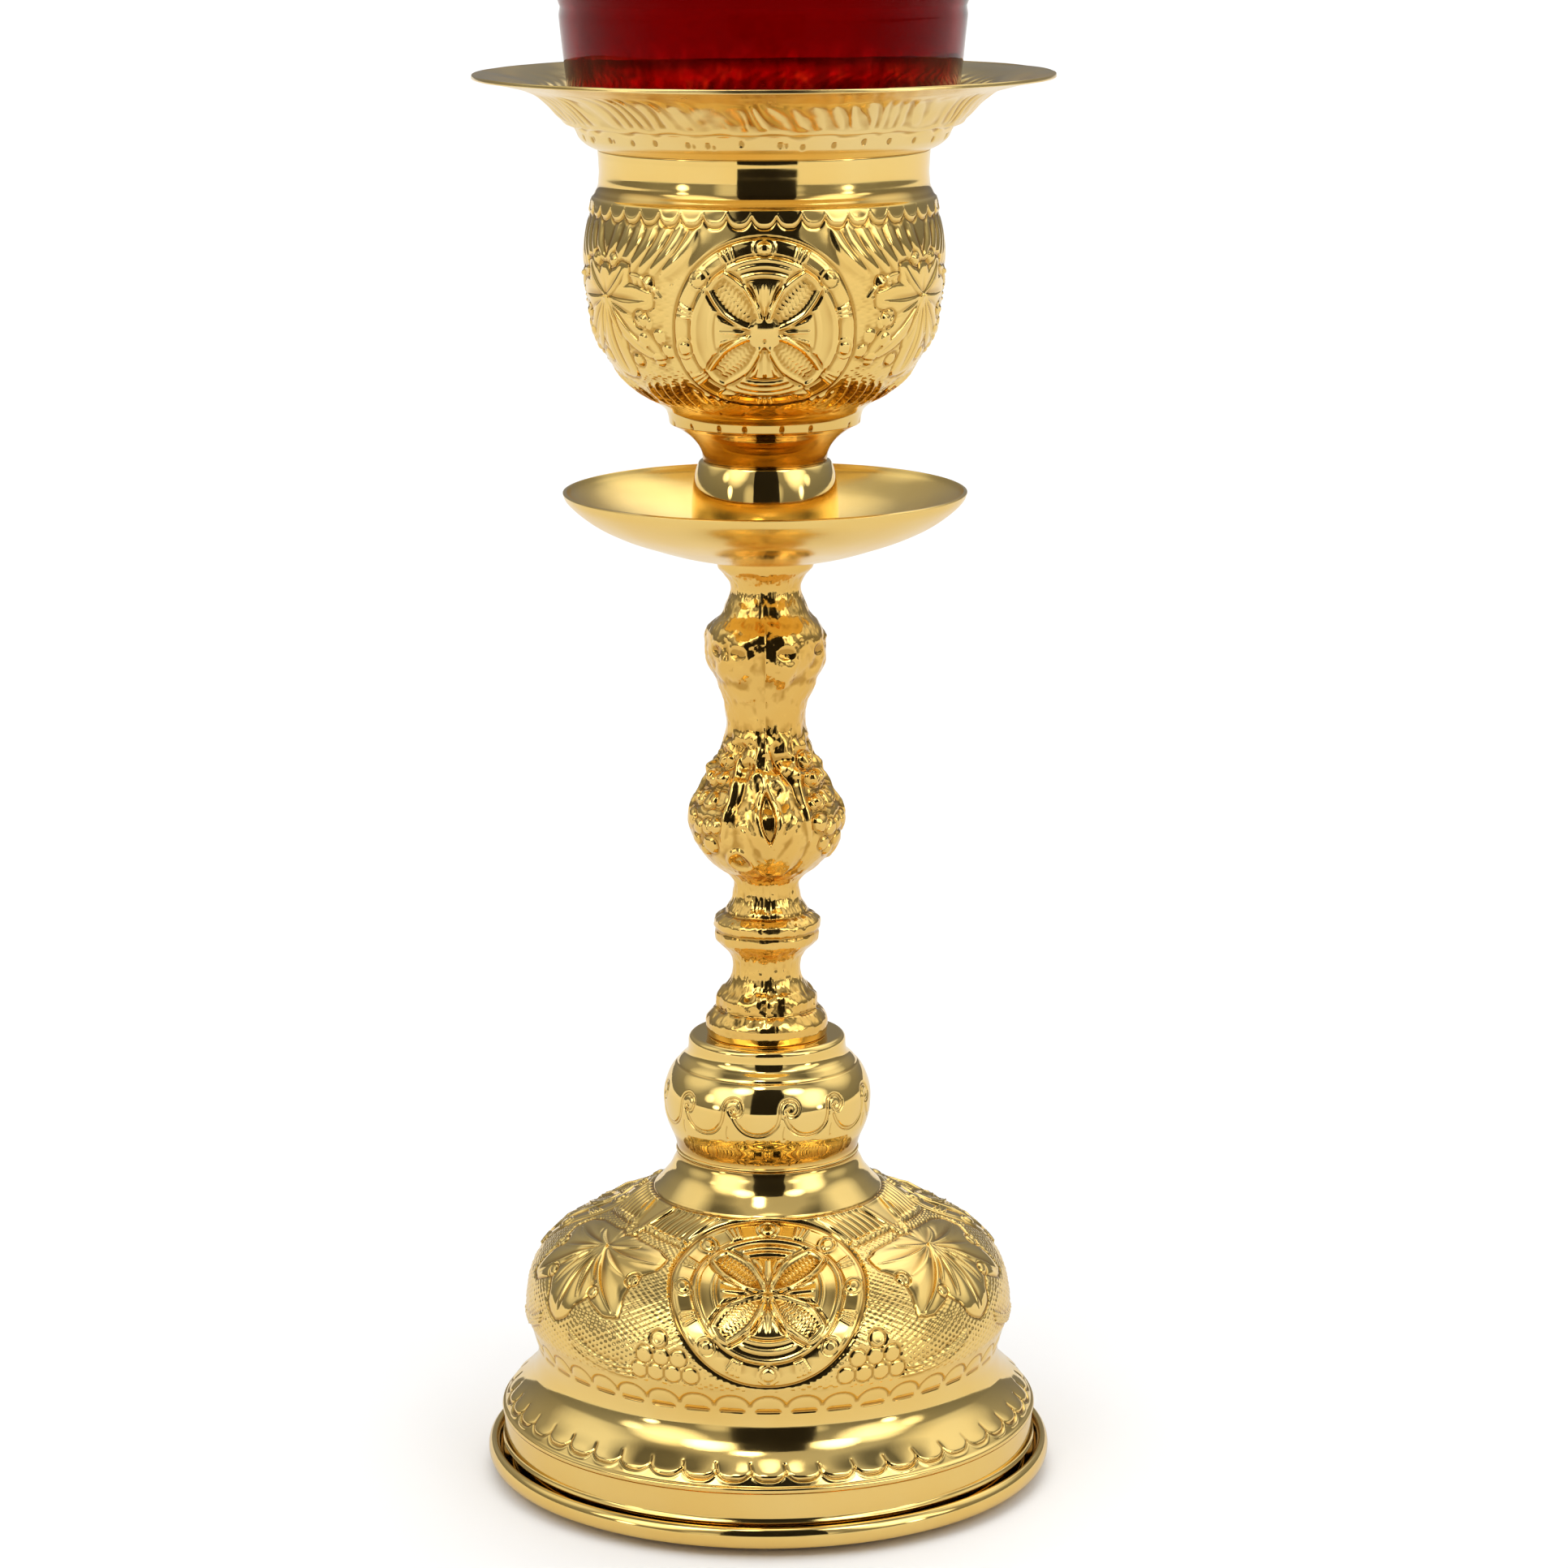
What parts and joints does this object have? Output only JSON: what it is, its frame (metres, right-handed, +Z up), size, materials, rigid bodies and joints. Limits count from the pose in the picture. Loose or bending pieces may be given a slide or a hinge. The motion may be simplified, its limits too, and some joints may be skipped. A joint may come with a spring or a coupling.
{
  "type": "sanctuary lamp",
  "caption": "Standing brass sanctuary lamp: embossed domed base, knop, cast baluster stem, drip tray, embossed bowl and flared rim holding a loose red oil glass with a hanging wick holder.",
  "frame": {"origin": "centre of the underside of the bottom plate, on the surface that the lamp stands on", "axes": "+Z up along the lamp's axis; -Y is the front, the side of one base medallion"},
  "size_m": [0.09, 0.09, 0.2702],
  "materials": {
    "polished_brass": "polished, clear lacquered",
    "embossed_brass": "embossed and polished, darker in the grooves",
    "satin_brass": "satin, turning marks",
    "cast_brass": "as cast, tumbled and polished",
    "ballast_iron": "as cast",
    "zinc_steel": "zinc plated",
    "red_glass": "pressed, clear ruby red",
    "wick_cotton": "braided cotton",
    "tinplate": "bright tinplate"
  },
  "bodies": {
    "stand": {"base_plate": "polished_brass", "ballast_ring": "ballast_iron", "base_dome": "embossed_brass", "knop": "polished_brass", "stem": "cast_brass", "drip_tray": "polished_brass", "barrel_spacer": "polished_brass", "bowl": "embossed_brass", "flared_rim": "satin_brass", "tie_rod": "zinc_steel", "base_washer": "zinc_steel", "base_spring_washer": "zinc_steel", "base_nut": "zinc_steel", "bowl_washer": "zinc_steel", "bowl_nut": "zinc_steel"},
    "glass": {"glass_cup": "red_glass"},
    "wick_holder": {"wick_holder": "tinplate", "wick_tube": "tinplate", "wick": "wick_cotton"}
  },
  "joints": [
    {"name": "glass_lift", "type": "slide", "parent": "stand", "child": "glass", "axis": [0, 0, 1], "range_m": [0, 0.045]},
    {"name": "wick_lift", "type": "slide", "parent": "glass", "child": "wick_holder", "axis": [0, 0, 1], "range_m": [0, 0.04]}
  ]
}
